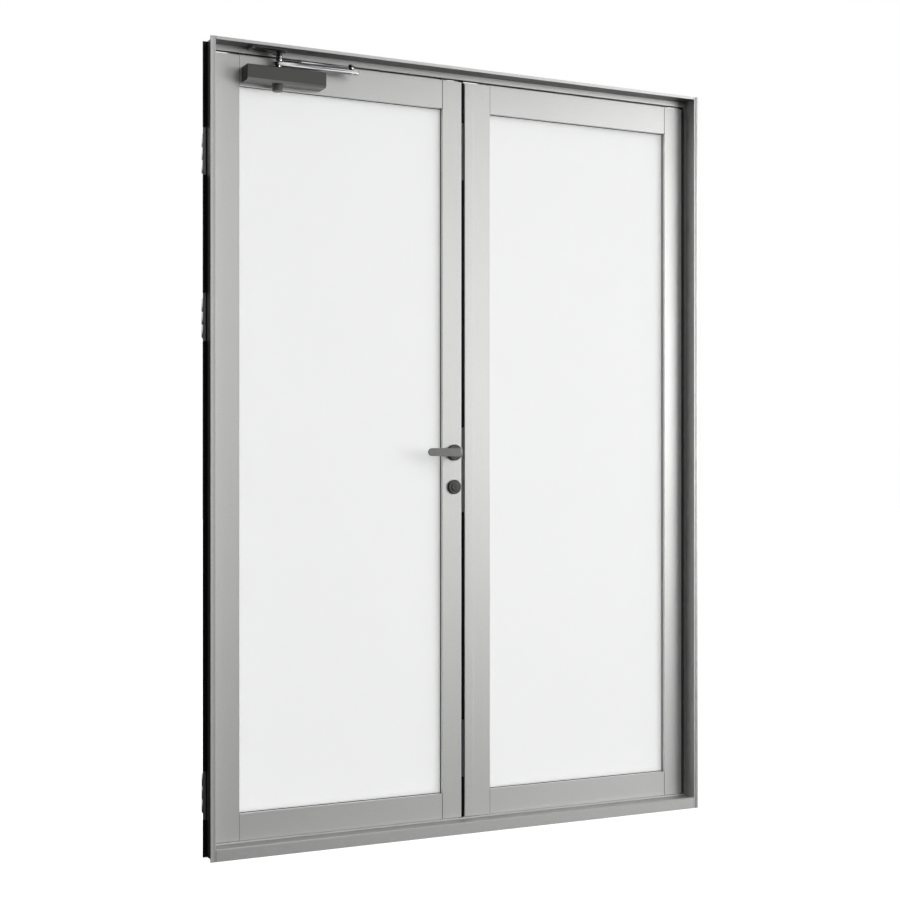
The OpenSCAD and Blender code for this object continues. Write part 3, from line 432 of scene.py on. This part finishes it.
def bracket_screws():
    """Four pan-head screws under the closer's bracket."""
    low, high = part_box("closer_bracket")
    inset = 7 * MM
    plate_under = high.z - 6 * MM
    places = [facing((x, y, plate_under), (0, 0, -1), x)
              for x in (low.x + inset, high.x - inset) for y in (low.y + inset, high.y - inset)]
    mesh = bmesh.new()
    for place in places:
        add_screw(mesh, place, 3.6 * MM, 1.6 * MM)
    add_piece("bracket_screws", mesh, [screw_steel], "frame")


def box_in(mesh, low, high, edge=0.0):
    """A box between two corners, with its edges cut by a bevel of the given width."""
    made = bmesh.ops.create_cube(mesh, size=1.0)
    centre, size = (Vector(low) + Vector(high)) / 2, Vector(high) - Vector(low)
    for corner in made["verts"]:
        corner.co = centre + Vector(a * b for a, b in zip(corner.co, size))
    faces = {f for v in made["verts"] for f in v.link_faces}
    if edge:
        edges = {e for f in faces for e in f.edges}
        bmesh.ops.bevel(mesh, geom=list(edges), offset=edge, segments=2, affect="EDGES", profile=0.5)


def closer_trim():
    """End covers of the closer, and its three regulating screws."""
    low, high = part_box("closer_body")
    thin = 0.8 * MM
    mesh = bmesh.new()
    body_top = high.z - 2 * MM
    for x, outwards in ((low.x, -1), (high.x, 1)):
        near, far = sorted((x, x + outwards * thin))
        box_in(mesh, (near, low.y + 5 * MM, low.z + 4 * MM),
               (far, high.y - 3 * MM, body_top - 2 * MM), edge=0.3 * MM)
    add_piece("closer_end_covers", mesh, [closer_paint], "active_leaf")
    valves = [facing((high.x + thin, low.y + y, low.z + z), (1, 0, 0)) for y, z in
              ((15 * MM, 12 * MM), (31 * MM, 12 * MM), (23 * MM, 28 * MM))]
    screws("closer_valve_screws", valves, 2.8 * MM, "active_leaf")


def lock_details():
    """The rim inside each cylinder ring."""
    mesh = bmesh.new()
    low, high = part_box("lock_cylinder")
    centre = (low + high) / 2
    radius = (high.z - low.z) / 2
    for y, outwards in ((low.y, -1), (high.y, 1)):
        place = facing((centre.x, y - outwards * 1.6 * MM, centre.z), (0, outwards, 0))
        add_revolved(mesh, place, [(radius + 0.1 * MM, 0), (radius + 1.6 * MM, 0),
                                   (radius + 1.2 * MM, 0.7 * MM), (radius + 0.1 * MM, 0.7 * MM)], steps=48)
    add_piece("cylinder_collars", mesh, [rose_nickel], "active_leaf")


def sill_bead():
    """A low rounded edge on the sill, just in front of the leaves."""
    low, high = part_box("sill")
    end = 8 * MM
    mesh = bmesh.new()
    box_in(mesh, (low.x + end, leaf_front_y - 5 * MM, high.z - 0.1 * MM),
           (high.x - end, leaf_front_y - 0.8 * MM, high.z + 4.2 * MM), edge=1.2 * MM)
    add_piece("sill_bead", mesh, [bead_painted_highlight], "frame")


# Light and camera
VIEW_TURN = math.radians(26.6)
CAMERA_PLACE = (-2.0195, -3.937, 0.9853)
LENS = 63.84
HORIZON_SHIFT = 0.0272
FILL = 0.012
FILL_FROM_RIGHT = 0.54
BACKDROP = 1.0
FLOOR_GLOW = 0.9


def add_camera():
    data = bpy.data.cameras.new("camera")
    data.lens = LENS
    data.sensor_width = 36.0
    data.shift_y = HORIZON_SHIFT
    camera = bpy.data.objects.new("camera", data)
    camera.location = CAMERA_PLACE
    camera.rotation_euler = (math.pi / 2, 0, -VIEW_TURN)
    bpy.context.scene.collection.objects.link(camera)
    bpy.context.scene.camera = camera


def add_softbox(name, place, target, size, power, spread=180):
    data = bpy.data.lights.new(name, "AREA")
    data.shape = "RECTANGLE"
    data.size, data.size_y = size
    data.energy = power
    data.spread = math.radians(spread)
    lamp = bpy.data.objects.new(name, data)
    lamp.location = place
    lamp.rotation_euler = (Vector(target) - Vector(place)).to_track_quat("-Z", "Y").to_euler()
    bpy.context.scene.collection.objects.link(lamp)
    return lamp


def studio_world():
    """A white backdrop for the camera. Everything else feels a weak fill, darkest from the left."""
    world = bpy.data.worlds.new("studio")
    world.use_nodes = True
    world.node_tree.nodes.clear()
    sky = NodeTree(world.node_tree)
    direction = sky.node("ShaderNodeTexCoord", output="Generated")
    across = sky.node("ShaderNodeSeparateXYZ", None, {0: direction}, output="X")
    strength = across.maths("MAXIMUM", across, 0.0) * FILL_FROM_RIGHT + FILL
    felt = sky.node("ShaderNodeBackground", None, {"Color": (1, 1, 1, 1), "Strength": strength})
    seen = sky.node("ShaderNodeBackground", None, {"Color": (1, 1, 1, 1), "Strength": BACKDROP})
    camera_sees = sky.node("ShaderNodeLightPath", output="Is Camera Ray")
    both = sky.node("ShaderNodeMixShader", None, {0: camera_sees, 1: felt, 2: seen})
    sky.node("ShaderNodeOutputWorld", None, {"Surface": both})
    bpy.context.scene.world = world


def add_floor():
    """A pale floor, which bounces no light back up at the door."""
    finish = Finish("pale_floor", {
        "Roughness": 0.9, "Specular IOR Level": 0.0, "Emission Color": (1, 1, 1, 1),
        "Emission Strength": FLOOR_GLOW})
    cloud = finish.noise(0.8)
    finish.feed("Base Color", finish.blend(cloud, (0.93, 0.93, 0.93), (0.97, 0.97, 0.97)))
    mesh = bmesh.new()
    half = 30.0
    under_sill = -0.5 * MM
    corners = ((-half, -half), (half, -half), (half, half), (-half, half))
    mesh.faces.new([mesh.verts.new((x, y, under_sill)) for x, y in corners])
    data = bpy.data.meshes.new("pale_floor")
    mesh.to_mesh(data)
    mesh.free()
    data.materials.append(finish.material)
    floor = bpy.data.objects.new("pale_floor", data)
    bpy.context.scene.collection.objects.link(floor)
    floor.visible_diffuse = False
    floor.visible_glossy = False


def add_sun(name, turn, height, softness, strength):
    """Even light from a direction: degrees to the right of straight ahead of the door, and up."""
    data = bpy.data.lights.new(name, "SUN")
    data.energy = strength
    data.angle = math.radians(softness)
    lamp = bpy.data.objects.new(name, data)
    turn, height = math.radians(turn), math.radians(height)
    level = math.cos(height)
    towards = Vector((math.sin(turn) * level, -math.cos(turn) * level, math.sin(height)))
    lamp.rotation_euler = towards.to_track_quat("Z", "Y").to_euler()
    bpy.context.scene.collection.objects.link(lamp)


def light_closer_underside():
    """A weak lamp from below that only the closer's body feels, for the shine on its lower edge."""
    lamp = add_softbox("closer_glow", (-0.6, -0.3, 1.1), (-0.57, -0.02, 2.0), (0.4, 0.3), 6)
    felt_by = bpy.data.collections.new("lit_from_below")
    felt_by.objects.link(frame["nodes"]["closer_body"])
    felt_by.objects.link(frame["nodes"]["closer_cap"])
    lamp.light_linking.receiver_collection = felt_by


def light_studio():
    bpy.context.scene.view_settings.view_transform = "Standard"
    studio_world()
    add_sun("front_light", 30, 15, 30, 0.22)
    add_sun("back_light", 180, 25, 40, 1.05)
    add_sun("back_left_light", 240, 20, 50, 0.7)
    add_sun("overhead", 10, 70, 50, 0.5)
    add_softbox("key_right", (4.2, -3.6, 1.6), (0.4, 0, 1.25), (2.6, 2.5), 18.5, spread=70)
    light_closer_underside()
    add_softbox("front_fill", (-1.0, -5.5, 2.6), (0, 0, 1.0), (3.0, 2.0), 10)


add_camera()
dress_cad_nodes()
hinge_screws()
edge_plate_screws()
bracket_screws()
closer_trim()
lock_details()
sill_bead()
add_floor()
light_studio()
